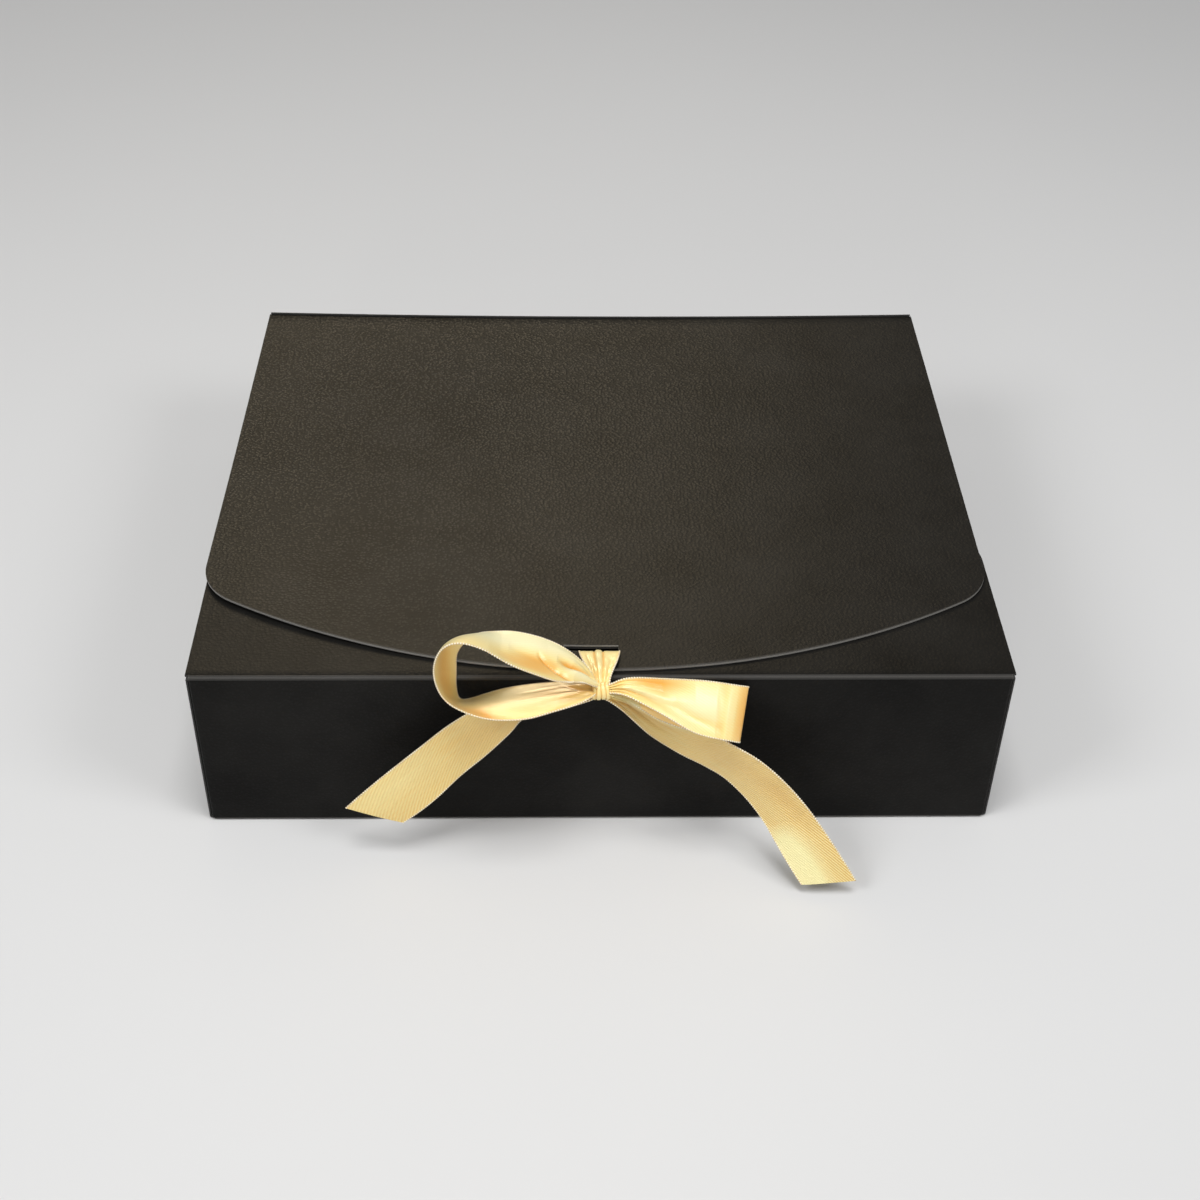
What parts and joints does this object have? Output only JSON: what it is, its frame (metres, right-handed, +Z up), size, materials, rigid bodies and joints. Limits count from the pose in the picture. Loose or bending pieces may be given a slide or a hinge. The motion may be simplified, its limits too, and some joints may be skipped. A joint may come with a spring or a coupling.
{
  "type": "gift box",
  "caption": "Fold-flat board gift box with a hinged lid, curved lid edge and tuck-under front flap, held shut by a satin ribbon tied in a bow through a slot.",
  "frame": {"origin": "centre of the box's underside", "axes": "+X to the right seen from the front, +Y to the back where the lid hinges, +Z up"},
  "size_m": [0.31, 0.2997, 0.1082],
  "materials": {
    "black_board": "embossed, satin",
    "gold_satin": "woven satin"
  },
  "bodies": {
    "box": {"base_panel": "black_board", "front_wall": "black_board", "back_wall": "black_board", "left_outer_wall": "black_board", "left_rim": "black_board", "left_inner_wall": "black_board", "right_outer_wall": "black_board", "right_rim": "black_board", "right_inner_wall": "black_board", "front_left_corner_tab": "black_board", "front_right_corner_tab": "black_board", "back_left_corner_tab": "black_board", "back_right_corner_tab": "black_board"},
    "lid": {"lid_panel": "black_board"},
    "flap": {"front_flap": "black_board"},
    "strap": {"ribbon_strap": "gold_satin"},
    "bow": {"bow_knot": "gold_satin", "left_loop": "gold_satin", "right_loop": "gold_satin", "left_tail": "gold_satin", "right_tail": "gold_satin"}
  },
  "joints": [
    {"name": "lid_hinge", "type": "hinge", "parent": "box", "child": "lid", "pos_m": [0, 0.13, 0.07615], "axis": [-1, 0, 0], "range_deg": [0, 110]},
    {"name": "front_flap_hinge", "type": "hinge", "parent": "box", "child": "flap", "pos_m": [0, -0.13, 0.07505], "axis": [1, 0, 0], "range_deg": [0, 100]},
    {"name": "ribbon_lift", "type": "slide", "parent": "lid", "child": "strap", "axis": [0, 0, 1], "range_m": [0, 0.06]},
    {"name": "bow_hang", "type": "hinge", "parent": "strap", "child": "bow", "pos_m": [-0.0009, -0.129, 0.078], "axis": [1, 0, 0], "range_deg": [0, 90]}
  ],
  "couplings": [
    {"joint": "front_flap_hinge", "follows": "lid_hinge", "ratio": 0.9},
    {"joint": "bow_hang", "follows": "lid_hinge", "ratio": 0.8}
  ]
}
